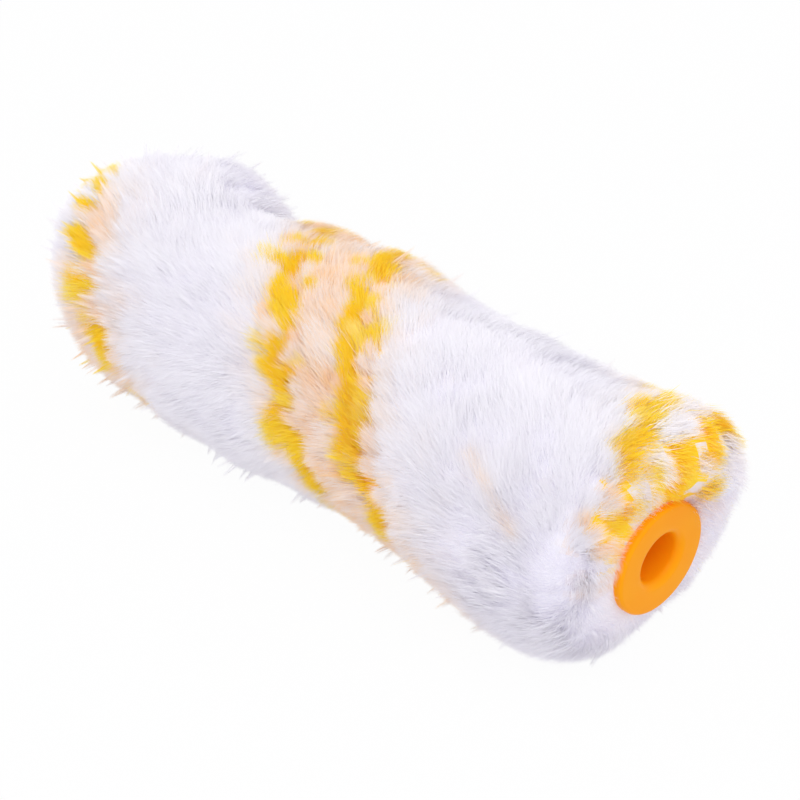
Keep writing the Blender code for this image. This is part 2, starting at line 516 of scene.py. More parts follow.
@dataclass
class PileEnvelope:
    """Surface that the pile's tips reach: drawn in at the waist, fuller at the ends and rounded off there.

    Angles run round the axis from +Y towards +Z, so 90 degrees is the top and 180 degrees the front.
    """

    root_radius: float
    half_length: float
    axis_height: float
    waist_height: float = 9.3
    end_height: float = 10.4
    end_rounding: float = 9.5
    end_lip: float = 2.0
    end_face: float = 3.0
    rim_reach: float = 5.0
    near_brush: float = 0.3
    far_brush: float = 2.8
    outline_steps: int = 60
    face_steps: int = 8
    patches: tuple[SoftPatch, ...] = (
        # Along the upper outline.
        SoftPatch(-3.0, 45.0, 6.0, 40.0, 1.4),
        SoftPatch(-4.5, 45.0, 2.5, 30.0, 0.6),
        SoftPatch(-17.0, 45.0, 2.5, 30.0, 1.2),
        SoftPatch(-12.0, 45.0, 3.5, 40.0, -0.9),
        SoftPatch(-28.2, 45.0, 6.0, 40.0, -3.4),
        SoftPatch(-39.0, 45.0, 5.0, 35.0, 1.9),
        # Along the lower outline.
        SoftPatch(-20.0, 225.0, 12.0, 45.0, 1.4),
        SoftPatch(35.0, 225.0, 8.0, 45.0, 1.4),
        SoftPatch(6.0, 225.0, 8.0, 45.0, -0.7),
        # Round the near cap and over the far end.
        SoftPatch(54.0, 48.0, 6.0, 28.0, 5.8),
        SoftPatch(52.0, 330.0, 5.0, 25.0, 1.2),
        SoftPatch(51.0, 285.0, 8.0, 38.0, -2.0),
        SoftPatch(-53.0, 140.0, 5.0, 40.0, 2.4),
        SoftPatch(-53.0, 215.0, 5.0, 40.0, -3.2),
        SoftPatch(-49.0, 52.0, 6.0, 35.0, -2.2),
    )
    distance: Array = field(init=False)
    outline: Array = field(init=False)
    facing: Array = field(init=False)

    def __post_init__(self) -> None:
        """Work out the outline from end to end, with the way that it faces."""
        near = self.half_outline(self.half_length + self.near_brush)
        far = self.half_outline(self.half_length + self.far_brush)
        self.outline = np.concatenate([far[:0:-1] * (-1.0, 1.0), near])
        steps = np.linalg.norm(np.diff(self.outline, axis=0), axis=1)
        self.distance = np.concatenate([[0.0], np.cumsum(steps)])
        run = np.gradient(self.outline, self.distance, axis=0)
        run /= np.linalg.norm(run, axis=1, keepdims=True)
        self.facing = np.stack([-run[:, 1], run[:, 0]], axis=1)

    def half_outline(self, reach: float) -> Array:
        """Work out the outline from the middle to one end.

        Args:
            reach: Distance of the end from the middle.

        Returns:
            Places along the axis and radii, one row for each point.
        """
        corner = reach - self.end_rounding
        middle = np.linspace(0.0, corner, self.outline_steps, endpoint=False)
        swing = np.linspace(0.0, math.pi / 2, self.outline_steps)
        x = np.concatenate([middle, corner + self.end_rounding * np.sin(swing)])
        full = self.root_radius + self.waist_height
        full = full + (self.end_height - self.waist_height) * np.sin(math.pi / 2 * x / reach) ** 2
        lip = self.root_radius + self.end_lip
        fade = np.concatenate([np.ones_like(middle), np.cos(swing)])
        face = np.linspace(0.0, self.end_face, self.face_steps)[1:]
        x = np.concatenate([x, np.full_like(face, reach)])
        radius = np.concatenate([lip + (full - lip) * fade, lip - face])
        return np.stack([x, radius], axis=1)

    @property
    def length(self) -> float:
        """Length of the outline from end to end."""
        return float(self.distance[-1])

    def at(self, distance: Array) -> tuple[Array, Array, Array, Array]:
        """Look up the outline.

        Args:
            distance: Distances along the outline from the far end.

        Returns:
            Place along the axis, radius, and the axial and radial share of the way that the outline faces.
        """
        columns = (self.outline[:, 0], self.outline[:, 1], self.facing[:, 0], self.facing[:, 1])
        x, radius, out_x, out_r = (np.interp(distance, self.distance, column) for column in columns)
        return x, radius, out_x, out_r

    def fullness(self, distance: Array, angle: Array) -> Array:
        """Return how far all the patches together lift the pile, less and less towards a cap's rim.

        Args:
            distance: Distances along the outline from the far end.
            angle: Angles round the axis.

        Returns:
            Rise of the pile out of the outline, below zero where it is pressed in.
        """
        x = self.at(distance)[0]
        total = sum(patch.at(x, angle) for patch in self.patches)
        return total * self.off_rim(distance)

    def off_rim(self, distance: Array) -> Array:
        """Return a share that rises from 0 at the outline's ends, at the caps' rims, to 1 away from them."""
        return smooth_step(0.0, self.rim_reach, np.minimum(distance, self.length - distance))


class Band(Enum):
    """Bands of yarn in the wound fabric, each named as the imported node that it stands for."""

    WHITE_WIDE = "white_pile_wide"
    WHITE_NARROW = "white_pile_narrow"
    YELLOW_LEADING = "yellow_pile_leading"
    YELLOW_TRAILING = "yellow_pile_trailing"

    @property
    def is_yellow(self) -> bool:
        """Whether the band is a yellow stripe."""
        return self in (Band.YELLOW_LEADING, Band.YELLOW_TRAILING)

    @property
    def finish(self) -> PlushYarn:
        """Finish of the band's yarn."""
        return YELLOW_PLUSH if self.is_yellow else WHITE_PLUSH

    @property
    def slot(self) -> str:
        """Material slot of the band's yarn."""
        return "yellow_pile" if self.is_yellow else "white_pile"


@dataclass
class StripePattern:
    """Two yellow stripes that wind round the sleeve as a right-handed helix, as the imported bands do."""

    pitch: float = 56.0
    trailing_x: float = -6.0
    leading_x: float = 7.6
    at_angle: float = 135.0
    half_width: float = 2.8
    nap_sway: float = 1.8
    sweeps: tuple[Rise, ...] = (Rise(20.0, 38.0, 6.0), Rise(44.0, 50.0, -7.0), Rise(-25.0, -42.0, 2.5))
    raggedness: float = 1.1
    edge_fade: Rise = Rise(1.2, 2.4)
    stain_ahead: float = 4.5
    stain_behind: float = 2.5
    clean_ends: tuple[Rise, ...] = (Rise(32.0, 44.0, 0.7), Rise(-42.0, -48.0, 0.9))
    width_spots: tuple[SoftPatch, ...] = (
        # Breaks in the stripes over the middle, and places where they are full.
        SoftPatch(-17.0, 70.0, 5.0, 12.0, -2.6),
        SoftPatch(-6.0, 133.0, 2.5, 3.0, -1.6),
        SoftPatch(-3.5, 150.0, 2.5, 4.0, -1.6),
        SoftPatch(1.0, 166.0, 2.5, 3.5, -1.6),
        SoftPatch(5.0, 180.0, 2.5, 3.5, -1.6),
        SoftPatch(2.0, 97.0, 3.0, 5.0, -3.0),
        SoftPatch(6.0, 124.0, 4.0, 14.0, 1.0),
        SoftPatch(9.5, 153.0, 2.5, 8.0, 1.4),
        SoftPatch(16.0, 150.0, 2.5, 8.0, -1.4),
        SoftPatch(14.0, 170.0, 5.0, 9.0, 0.8),
        # Far end and underside.
        SoftPatch(-47.0, 135.0, 3.0, 3.5, -1.2),
        SoftPatch(-44.0, 153.0, 3.0, 3.5, -1.2),
        SoftPatch(-40.0, 170.0, 3.0, 3.5, -1.2),
        SoftPatch(-46.0, 150.0, 9.0, 45.0, -1.3),
        SoftPatch(-32.0, 215.0, 9.0, 18.0, -2.0),
        SoftPatch(26.0, 224.0, 14.0, 18.0, -3.2),
        # Above the near cap.
        SoftPatch(46.0, 95.0, 5.0, 18.0, 0.2),
        SoftPatch(51.0, 56.0, 5.0, 10.0, -0.4),
        SoftPatch(50.0, 77.0, 2.0, 7.0, 0.9),
        SoftPatch(50.5, 96.0, 1.2, 4.5, 3.4),
        SoftPatch(50.5, 112.0, 1.2, 4.0, -1.5),
        SoftPatch(45.0, 64.0, 3.0, 6.0, -2.0),
        SoftPatch(50.0, 108.0, 4.0, 10.0, 0.3),
    )
    streaks: tuple[StrayStreak, ...] = (
        StrayStreak(30.5, 142.0, 41.5, 158.0, 0.7, 0.24),
        StrayStreak(47.0, 141.0, 48.0, 151.0, 0.6, 0.4),
        StrayStreak(47.5, 122.0, 49.0, 138.0, 0.5, 0.7),
        StrayStreak(50.0, 166.0, 50.5, 180.0, 0.9, 0.5),
    )

    @property
    def half_gap(self) -> float:
        """Half the distance between the stripes' middle lines."""
        return (self.leading_x - self.trailing_x) / 2

    def across(self, x: Array, angle: Array) -> Array:
        """Return the place across the fabric, from the middle of the narrow white band, within one pitch.

        Args:
            x: Places along the axis.
            angle: Angles round it.

        Returns:
            Distance along the axis from the narrow band's middle line, between minus and plus half a pitch.
        """
        turned = angle - math.radians(self.at_angle)
        sway = self.nap_sway * np.sin(turned) + sum(sweep.at(x) for sweep in self.sweeps)
        middle = (self.trailing_x + self.leading_x) / 2
        off = x - middle - sway - self.pitch * turned / TURN
        return (off + self.pitch / 2) % self.pitch - self.pitch / 2

    def band_at(self, across: Array, spread: Array) -> Array:
        """Sort places across the fabric into bands.

        Args:
            across: Places from across().
            spread: How much wider than its usual half width a stripe is there.

        Returns:
            Index of each place's band, in the order of Band.
        """
        bands = list(Band)
        result = np.full(across.shape, bands.index(Band.WHITE_WIDE))
        result[np.abs(across) < self.half_gap] = bands.index(Band.WHITE_NARROW)
        reach = self.half_width + spread
        result[np.abs(across - self.half_gap) < reach] = bands.index(Band.YELLOW_LEADING)
        result[np.abs(across + self.half_gap) < reach] = bands.index(Band.YELLOW_TRAILING)
        return result

    def off_stripe(self, across: Array) -> Array:
        """Return how far places are from the nearest stripe's middle line, in half widths."""
        return np.abs(np.abs(across) - self.half_gap) / self.half_width

    def edge_share(self, across: Array) -> Array:
        """Return how far places are from the nearest stripe's middle: 0 there and 1 at its usual edge."""
        return np.minimum(self.off_stripe(across), 1.0)

    def nearness(self, across: Array) -> Array:
        """Return a share that is 1 on the stripes and along their edges, and 0 well away from them."""
        return 1.0 - self.edge_fade.at(self.off_stripe(across))

    def spread(self, x: Array, angle: Array, noise: Array) -> Array:
        """Return how much wider than usual a stripe is at places on the sleeve, below zero where it is thin.

        Args:
            x: Places along the axis.
            angle: Angles round it.
            noise: Soft noise at those places, with a spread of about 1.

        Returns:
            What comes on top of the stripe's half width.
        """
        return self.raggedness * noise + sum(spot.at(x, angle) for spot in self.width_spots)

    def stain(self, across: Array, x: Array) -> Array:
        """Return how much yellow fibre is mixed into the white beside the stripes.

        Args:
            across: Places from across().
            x: Places along the axis. Close to the caps the white stays clean.

        Returns:
            Share of yellow fibre, from 0 to 1.
        """
        edge = self.half_gap + self.half_width
        ahead = np.exp(-np.maximum(across - edge, 0.0) / self.stain_ahead)
        behind = np.exp(-np.maximum(-across - edge, 0.0) / self.stain_behind)
        clean = np.maximum(*(end.at(x) for end in self.clean_ends))
        return np.minimum(ahead, behind) * (1.0 - clean)

    def streak(self, x: Array, angle: Array) -> Array:
        """Return how much yellow fibre the stray streaks carry into the wide white band."""
        return sum(streak.at(x, angle) for streak in self.streaks)


def angle_of(points: Array) -> Array:
    """Return the angles of points round the axis."""
    return np.arctan2(points[:, 2], points[:, 1])


def palette_places(corners: Sequence[tuple[float, float]], shade: Array) -> Array:
    """Put the corners of fibres or faces on the palette map.

    Args:
        corners: Places of one fibre's or face's corners, across the column of its shade and up the map.
        shade: Shade of each fibre or face, from 0 to 1.

    Returns:
        Places on the map, with one row for each fibre or face.
    """
    column = np.floor(np.clip(shade, 0.0, 0.999) * PALETTE_COLUMNS)
    places = np.repeat(np.array(corners)[None], len(shade), axis=0)
    places[..., 0] = (places[..., 0] + column[:, None]) / PALETTE_COLUMNS
    return places


@dataclass
class Fibres:
    """Fibres as arrays with one row each: root, middle and tip, the way the pile faces, thickness, shade."""

    root: Array
    middle: Array
    tip: Array
    out: Array
    thickness: Array
    shade: Array

    TWIST: ClassVar[float] = 0.2
    VERTICES: ClassVar[int] = 4
    FACES: ClassVar[tuple[tuple[int, int, int], ...]] = ((2, 1, 3), (1, 2, 0))
    UPPER: ClassVar[tuple[tuple[float, float], ...]] = ((0.9, 0.5), (0.1, 0.5), (0.5, 1.0))
    LOWER: ClassVar[tuple[tuple[float, float], ...]] = ((0.1, 0.5), (0.9, 0.5), (0.5, 0.0))

    def __len__(self) -> int:
        """Return the number of fibres."""
        return len(self.root)

    def pick(self, chosen: Array) -> Fibres:
        """Return some of the fibres."""
        rows = (self.root, self.middle, self.tip, self.out, self.thickness, self.shade)
        return Fibres(*(row[chosen] for row in rows))

    def vertices(self, rng: np.random.Generator) -> Array:
        """Work out the corners of every fibre, a slim blade that is bent and widest at its middle.

        Args:
            rng: Source of random numbers.

        Returns:
            Root, two sides of the middle and tip, with one row for each fibre.
        """
        side = np.cross(self.out + rng.normal(0.0, self.TWIST, self.out.shape), self.tip - self.root)
        side *= (self.thickness / 2 / np.linalg.norm(side, axis=1))[:, None]
        return np.stack([self.root, self.middle - side, self.middle + side, self.tip], axis=1)

    def palette(self) -> Array:
        """Return the palette map of every face corner: the fibre's shade across and its length up."""
        return palette_places(self.UPPER + self.LOWER, self.shade)


@dataclass(frozen=True)
class NapLean:
    """How far the nap leans at a place along the axis: along it and round it, per length of fibre."""

    x: float
    along: float
    around: float


@dataclass(frozen=True)
class ShadeSpread:
    """A usual shade of yarn, and how far tufts and single fibres stray from it."""

    usual: float
    tuft: float
    own: float

    def at(self, tuft: Array, own: Array) -> Array:
        """Return the shades for random values of tufts and of single fibres."""
        return self.usual + self.tuft * tuft + self.own * own


@dataclass
class SurfaceFrame:
    """Places on the envelope, with the directions out of it, along its outline and round the axis."""

    place: Array
    out: Array
    along: Array
    around: Array


@dataclass
class PlushPile:
    """The pile: tufts of fine fibres over a closed ground of shorter ones."""

    envelope: PileEnvelope
    stripes: StripePattern

    # Tufts, and the fibres in them.
    tuft_spacing: float = 2.1
    tuft_jitter: float = 0.3
    tuft_spread: float = 0.55
    tuft_rise: float = 0.1
    swell_rise: float = 0.2
    swell_wave: float = 11.0
    fibres_per_tuft: int = 230
    fibre_thickness: float = 0.085
    thickness_range: tuple[float, float] = (0.75, 1.2)
    fibre_length: float = 5.0
    fibre_stray: float = 0.12
    tip_trim: float = 0.3
    under_share: float = 0.3
    under_trim: tuple[float, float] = (0.4, 1.5)
    straight_share: float = 0.6
    bend_weights: tuple[float, float, float] = (0.2, 0.45, 0.35)
    gather_range: tuple[float, float] = (0.1, 0.45)
    stripe_gather: float = 0.25
    stripe_draw: float = 0.3
    most_fibres: int = 85000

    # Nap, as it is combed over the top, down the lower front and down the back.
    nap: tuple[NapLean, ...] = (
        NapLean(-50.0, -0.65, -0.25),
        NapLean(-6.0, -0.45, -0.35),
        NapLean(8.0, -0.4, -0.4),
        NapLean(30.0, -0.35, -0.5),
        NapLean(50.0, 0.0, -0.55),
    )
    lower_nap: tuple[NapLean, ...] = (
        NapLean(-50.0, -0.65, 0.2),
        NapLean(0.0, -0.55, 0.25),
        NapLean(28.0, -0.6, -0.1),
        NapLean(50.0, -0.45, -0.35),
    )
    back_nap: tuple[NapLean, ...] = (NapLean(-50.0, 0.45, -0.35), NapLean(50.0, 0.45, -0.35))
    top_from: Rise = Rise(55.0, 100.0)
    lower_from: Rise = Rise(125.0, 195.0)
    back_from: Rise = Rise(250.0, 290.0)
    comb_sway: float = 0.1
    comb_wave: float = 14.0
    tuft_lean: float = 0.08
    rim_lean: float = -0.2
    rim_margin: float = 0.5

    # Spikes: locks that stand out of the pile, most of them at the far end and on the underside.
    spike_share: float = 0.1
    spike_chance: float = 0.04
    far_spikes: Rise = Rise(-25.0, -45.0, 0.4)
    under_spikes: Rise = Rise(-0.3, -0.7, 0.15)
    spike_off_rim: float = 0.99
    spike_reach: tuple[float, float] = (0.6, 2.3)
    spike_evenness: tuple[float, float] = (0.7, 1.0)
    near_loss: Rise = Rise(20.0, 40.0, 0.45)
    spike_foot: float = 0.5
    spike_head: float = 0.08
    spike_thinness: float = 0.75

    # Dye: how far a tuft's fibres share one place in the stripes, and their shades.
    dye_depth: float = 0.7
    lock_hold: float = 0.88
    lock_stray: float = 0.85
    white_shade: ShadeSpread = ShadeSpread(0.16, 0.04, 0.04)
    stain_shade: ShadeSpread = ShadeSpread(0.5, 0.1, 0.1)
    streak_shade: ShadeSpread = ShadeSpread(1.0, 0.3, 0.3)
    yellow_shade: ShadeSpread = ShadeSpread(0.25, 0.12, 0.1)
    yellow_edge: float = 0.3
    edge_wave: float = 5.0

    # Ground of short fibres, by its depth below the tips.
    ground_spacing: float = 1.0
    ground_depth: float = 1.9
    dome_depth: float = 1.5
    dome_from: Rise = Rise(0.2, 0.6)
    stripe_depth: float = 0.4
    dense_spot: SoftPatch = SoftPatch(49.5, 152.0, 5.5, 20.0, 0.4)
    lump_height: float = 0.08
    lump_wave: float = 3.2
    lump_waves: int = 40
    ground_tone: float = 0.5
    # The ground's faces sit low on the palette map, where the painted root shade darkens them.
    ground_cell_in_root_shade: tuple[tuple[float, float], ...] = ((0.1, 0.02), (0.9, 0.02), (0.9, 0.12), (0.1, 0.12))
    rim_seat: float = 50.6

    def __post_init__(self) -> None:
        """Draw the noises that the pile's parts share."""
        self.rng = np.random.default_rng(SEED)
        radius = self.envelope.root_radius + self.envelope.waist_height
        self.edge_noise = SoftNoise(self.rng, self.edge_wave, radius)
        self.comb_along = SoftNoise(self.rng, self.comb_wave, radius)
        self.comb_around = SoftNoise(self.rng, self.comb_wave, radius)
        self.lump_noise = SoftNoise(self.rng, self.lump_wave, radius, self.lump_waves)
        self.swell_noise = SoftNoise(self.rng, self.swell_wave, radius)

    def build(self) -> None:
        """Make a piece, or several of a good size for an export, for each band of yarn."""
        fibres, fibre_band = self.grow_fibres()
        ground, ground_faces, face_band, face_shade = self.lay_ground()
        for index, band in enumerate(Band):
            own = np.flatnonzero(fibre_band == index)
            count = max(1, math.ceil(len(own) / self.most_fibres))
            for part in range(count):
                tufts = fibres.pick(own[part::count])
                faces = face_band == index if part == 0 else np.zeros(len(face_band), bool)
                name = f"{band.value}_tufts_{part + 1}"
                mesh = self.band_mesh(name, tufts, ground, ground_faces[faces], face_shade[faces])
                add_piece(name, mesh, band.finish, [band.value])

    def lay_tufts(self) -> tuple[Array, Array]:
        """Place the tufts in loose rows round the sleeve.

        Returns:
            Distance along the envelope's outline and angle of each tuft.
        """
        distances, angles = [], []
        rows = round(self.envelope.length / self.tuft_spacing)
        for row in (np.arange(rows) + 0.5) * self.envelope.length / rows:
            radius = self.envelope.at(row)[1]
            count = round(TURN * float(radius) / self.tuft_spacing)
            shift = self.rng.uniform()
            jitter = self.rng.normal(0.0, self.tuft_jitter, (2, count))
            angles.append((np.arange(count) + shift + jitter[0]) * TURN / count)
            distances.append(row + jitter[1] * self.tuft_spacing)
        return self.on_pile(np.concatenate(distances)), np.concatenate(angles)

    def grow_fibres(self) -> tuple[Fibres, Array]:
        """Grow the fibres of every tuft.

        Returns:
            The fibres, and the index of each one's band.
        """
        rng, envelope = self.rng, self.envelope
        distance, angle = self.lay_tufts()
        tufts = len(distance)
        x, radius, _, _ = envelope.at(distance)
        lift = envelope.fullness(distance, angle) + self.swell_rise * self.swell_noise.at(x, angle)
        lift += rng.normal(0.0, self.tuft_rise, tufts)
        lean_along, lean_around = self.comb_tufts(distance, angle)
        striped = self.stripes.nearness(self.stripes.across(x, angle))
        gather = rng.uniform(*self.gather_range, tufts) + self.stripe_gather * striped
        chance = self.spike_chance + self.far_spikes.at(x) + self.under_spikes.at(np.sin(angle))
        spiky = rng.uniform(size=tufts) < chance
        spiky &= envelope.off_rim(distance) > self.spike_off_rim

        count = tufts * self.fibres_per_tuft
        own = np.repeat(np.arange(tufts), self.fibres_per_tuft)
        offset = rng.normal(0.0, self.tuft_spread * self.tuft_spacing, (2, count))
        offset *= (1.0 - self.stripe_draw * striped)[own]
        kind = rng.uniform(size=count)
        under = kind < self.under_share
        spike = (kind > 1.0 - self.spike_share) & spiky[own]
        offset[:, spike] *= self.spike_foot
        together = np.where(spike, self.spike_head, 1.0 - gather[own])
        foot, head = (
            self.frame_at(
                self.on_pile(distance[own] + offset[0] * share),
                angle[own] + offset[1] * share / radius[own],
            )
            for share in (1.0, together)
        )

        trim = np.abs(rng.normal(0.0, self.tip_trim, count))
        trim[under] = rng.uniform(*self.under_trim, int(under.sum()))
        reach = (rng.uniform(*self.spike_reach, tufts) * (1.0 - self.near_loss.at(x)))[own]
        trim[spike] = -reach[spike] * rng.uniform(*self.spike_evenness, int(spike.sum()))
        stray = np.where(spike, 0.0, rng.normal(0.0, self.fibre_stray, (2, count)))
        lean = lean_along[own][:, None] * head.along + lean_around[own][:, None] * head.around
        wander = stray[0][:, None] * head.along + stray[1][:, None] * head.around
        tip = head.place + (lift[own] - trim)[:, None] * head.out + self.fibre_length * wander
        root = foot.place + lift[own][:, None] * foot.out - self.fibre_length * (foot.out + lean)
        bend = root + self.straight_share * self.fibre_length * foot.out
        middle = sum(weight * points for weight, points in zip(self.bend_weights, (root, bend, tip)))
        for points in (root, middle, tip):
            self.press_on_floor(points)

        place = self.dye_depth * root + (1.0 - self.dye_depth) * tip
        streak = self.stripes.streak(place[:, 0], angle_of(place))
        place += self.lock_hold * (self.mean_by_tuft(place, own, tufts)[own] - place)
        jitter = rng.normal(0.0, self.lock_stray, tufts)[own]
        tone = rng.normal(0.0, 1.0, tufts)[own]
        band, shade = self.dye(place, jitter, streak, tone, rng.normal(0.0, 1.0, count))
        thickness = self.fibre_thickness * rng.uniform(*self.thickness_range, count)
        thickness[spike] *= self.spike_thinness
        return Fibres(root, middle, tip, head.out, thickness, shade), band

    def comb_tufts(self, distance: Array, angle: Array) -> tuple[Array, Array]:
        """Comb the tufts, each a little its own way.

        Args:
            distance: Distances along the envelope's outline from the far end.
            angle: Angles round the axis.

        Returns:
            Lean along the outline and round the axis, per length of fibre.
        """
        x, _, _, out_r = self.envelope.at(distance)
        along, around = self.combed(x, angle)
        along = along * out_r + self.comb_sway * self.comb_along.at(x, angle)
        along += self.rng.normal(0.0, self.tuft_lean, len(x))
        along += self.rim_lean * np.sign(x) * (1.0 - self.envelope.off_rim(distance))
        around = around * out_r + self.comb_sway * self.comb_around.at(x, angle)
        around += self.rng.normal(0.0, self.tuft_lean, len(x))
        return along, around

    def combed(self, x: Array, angle: Array) -> tuple[Array, Array]:
        """Return how the nap leans: one way over the top, others down the lower front and down the back.

        Args:
            x: Places along the axis.
            angle: Angles round it.

        Returns:
            Lean along the axis and round it, per length of fibre.
        """
        first = self.back_from.end - 360.0
        turned = (np.degrees(angle) - first) % 360.0 + first
        underside = self.back_from.at(turned)
        lower = self.lower_from.at(turned) * (1.0 - underside)
        back = 1.0 - self.top_from.at(turned) + underside
        shares = (1.0 - lower - back, lower, back)
        along, around = np.zeros_like(x), np.zeros_like(x)
        for nap, share in zip((self.nap, self.lower_nap, self.back_nap), shares):
            places = [lean.x for lean in nap]
            along += share * np.interp(x, places, [lean.along for lean in nap])
            around += share * np.interp(x, places, [lean.around for lean in nap])
        return along, around

    def dye(
        self, place: Array, jitter: Array, streak: Array, tuft: Array, own: Array
    ) -> tuple[Array, Array]:
        """Choose the bands and the shades of fibres.

        Args:
            place: Place of each fibre in the stripes.
            jitter: How far it strays across them.
            streak: Yellow that a stray streak adds to it.
            tuft: Random value that the fibres of a tuft share.
            own: Random value of its own.

        Returns:
            Index of each fibre's band, and its shade from 0 to 1 across its yarn's palette.
        """
        x, angle = place[:, 0], angle_of(place)
        across = self.stripes.across(x, angle) + jitter
        spread = self.stripes.spread(x, angle, self.edge_noise.at(x, angle))
        band = self.stripes.band_at(across, spread)
        is_yellow = np.array([b.is_yellow for b in Band])[band]
        white = self.white_shade.at(tuft, own)
        white += self.stripes.stain(across, x) * self.stain_shade.at(tuft, own)
        white += streak * self.streak_shade.at(tuft, own)
        yellow = self.yellow_shade.at(tuft, own) + self.yellow_edge * self.stripes.edge_share(across)
        return band, np.clip(np.where(is_yellow, yellow, white), 0.0, 1.0)

    def lay_ground(self) -> tuple[Array, Array, Array, Array]:
        """Lay the ground of short fibres under the tufts as one lumpy surface.

        Returns:
            Points, faces as rows of four points, and each face's band and shade.
        """
        envelope = self.envelope
        rows = round(envelope.length / self.ground_spacing)
        columns = round(TURN * envelope.outline[:, 1].max() / self.ground_spacing)
        distance, angle = np.meshgrid(
            np.linspace(0.0, envelope.length, rows), np.arange(columns) * TURN / columns, indexing="ij"
        )
        x, _, out_x, _ = envelope.at(distance)
        off_rim = envelope.off_rim(distance)
        at_rim = np.where(x > 0.0, envelope.outline[-1, 0], -envelope.outline[0, 0]) - self.rim_seat
        domed = self.dome_from.at(np.abs(out_x))
        depth = self.ground_depth + (self.dome_depth - self.ground_depth) * domed
        depth += self.stripe_depth * self.stripes.nearness(self.stripes.across(x, angle))
        depth -= self.dense_spot.at(x, angle)
        sink = at_rim + (depth - at_rim) * off_rim
        sink -= self.lump_height * self.lump_noise.at(x, angle) * off_rim
        sink -= envelope.fullness(distance, angle)
        spot = self.frame_at(distance.ravel(), angle.ravel())
        points = spot.place - sink.ravel()[:, None] * spot.out
        self.press_on_floor(points)
        corner = np.arange(rows * columns).reshape(rows, columns)
        after = np.roll(corner, -1, axis=1)
        faces = np.stack([corner[:-1], after[:-1], after[1:], corner[1:]], axis=-1).reshape(-1, 4)
        middle = points[faces].mean(axis=1)
        streak = self.stripes.streak(middle[:, 0], angle_of(middle))
        still = np.zeros(len(faces))
        own = self.rng.normal(0.0, self.ground_tone, len(faces))
        band, shade = self.dye(middle, still, streak, still, own)
        return points, faces, band, shade

    def frame_at(self, distance: Array, angle: Array) -> SurfaceFrame:
        """Look up places on the envelope.

        Args:
            distance: Distances along the outline from the far end.
            angle: Angles round the axis.

        Returns:
            The places and the directions there.
        """
        x, radius, out_x, out_r = self.envelope.at(distance)
        cos, sin, zero = np.cos(angle), np.sin(angle), np.zeros_like(angle)
        return SurfaceFrame(
            place=np.stack([x, radius * cos, radius * sin], axis=1),
            out=np.stack([out_x, out_r * cos, out_r * sin], axis=1),
            along=np.stack([out_r, -out_x * cos, -out_x * sin], axis=1),
            around=np.stack([zero, -sin, cos], axis=1),
        )

    def on_pile(self, distance: Array) -> Array:
        """Keep distances along the outline clear of the caps' rims."""
        return np.clip(distance, self.rim_margin, self.envelope.length - self.rim_margin)

    def press_on_floor(self, points: Array) -> None:
        """Press points that would reach through the floor flat against it."""
        floor = -self.envelope.axis_height + self.fibre_thickness
        points[:, 2] = np.maximum(points[:, 2], floor)

    @staticmethod
    def mean_by_tuft(points: Array, own: Array, tufts: int) -> Array:
        """Return the mean point of each tuft."""
        sums = np.stack([np.bincount(own, points[:, i], tufts) for i in range(3)], axis=1)
        return sums / np.bincount(own, minlength=tufts)[:, None]

    def band_mesh(
        self,
        name: str,
        fibres: Fibres,
        ground: Array,
        ground_faces: Array,
        ground_shade: Array,
    ) -> bpy.types.Mesh:
        """Make the mesh of a piece of pile, with its palette map.

        Args:
            name: Name of the mesh.
            fibres: Fibres of the piece.
            ground: Points of the whole ground.
            ground_faces: Faces of the ground that belong to the piece.
            ground_shade: Shade of each of those faces.

        Returns:
            The mesh, in metres in the part's frame.
        """
        used, corner = np.unique(ground_faces, return_inverse=True)
        fibre_points = fibres.vertices(self.rng).reshape(-1, 3)
        points = np.concatenate([fibre_points, ground[used]])
        first = np.arange(len(fibres))[:, None] * Fibres.VERTICES
        fibre_corners = (first + np.array(Fibres.FACES).ravel()).ravel()
        corners = np.concatenate([fibre_corners, len(fibre_points) + corner.ravel()])
        fibre_faces = len(fibres) * len(Fibres.FACES)
        sizes = np.concatenate([np.full(fibre_faces, 3), np.full(len(ground_faces), 4)])
        cells = palette_places(self.ground_cell_in_root_shade, ground_shade)
        palette = np.concatenate([fibres.palette().reshape(-1, 2), cells.reshape(-1, 2)])

        mesh = bpy.data.meshes.new(name)
        mesh.vertices.add(len(points))
        world = (points + (0.0, 0.0, self.envelope.axis_height)) * MM
        mesh.vertices.foreach_set("co", world.astype(np.float32).ravel())
        mesh.loops.add(len(corners))
        mesh.loops.foreach_set("vertex_index", corners.astype(np.int32))
        mesh.polygons.add(len(sizes))
        mesh.polygons.foreach_set("loop_start", (np.cumsum(sizes) - sizes).astype(np.int32))
        mesh.update(calc_edges=True)
        mesh.uv_layers.new(name=PALETTE_MAP).data.foreach_set("uv", palette.astype(np.float32).ravel())
        mesh.polygons.foreach_set("use_smooth", np.arange(len(sizes)) >= fibre_faces)
        return mesh


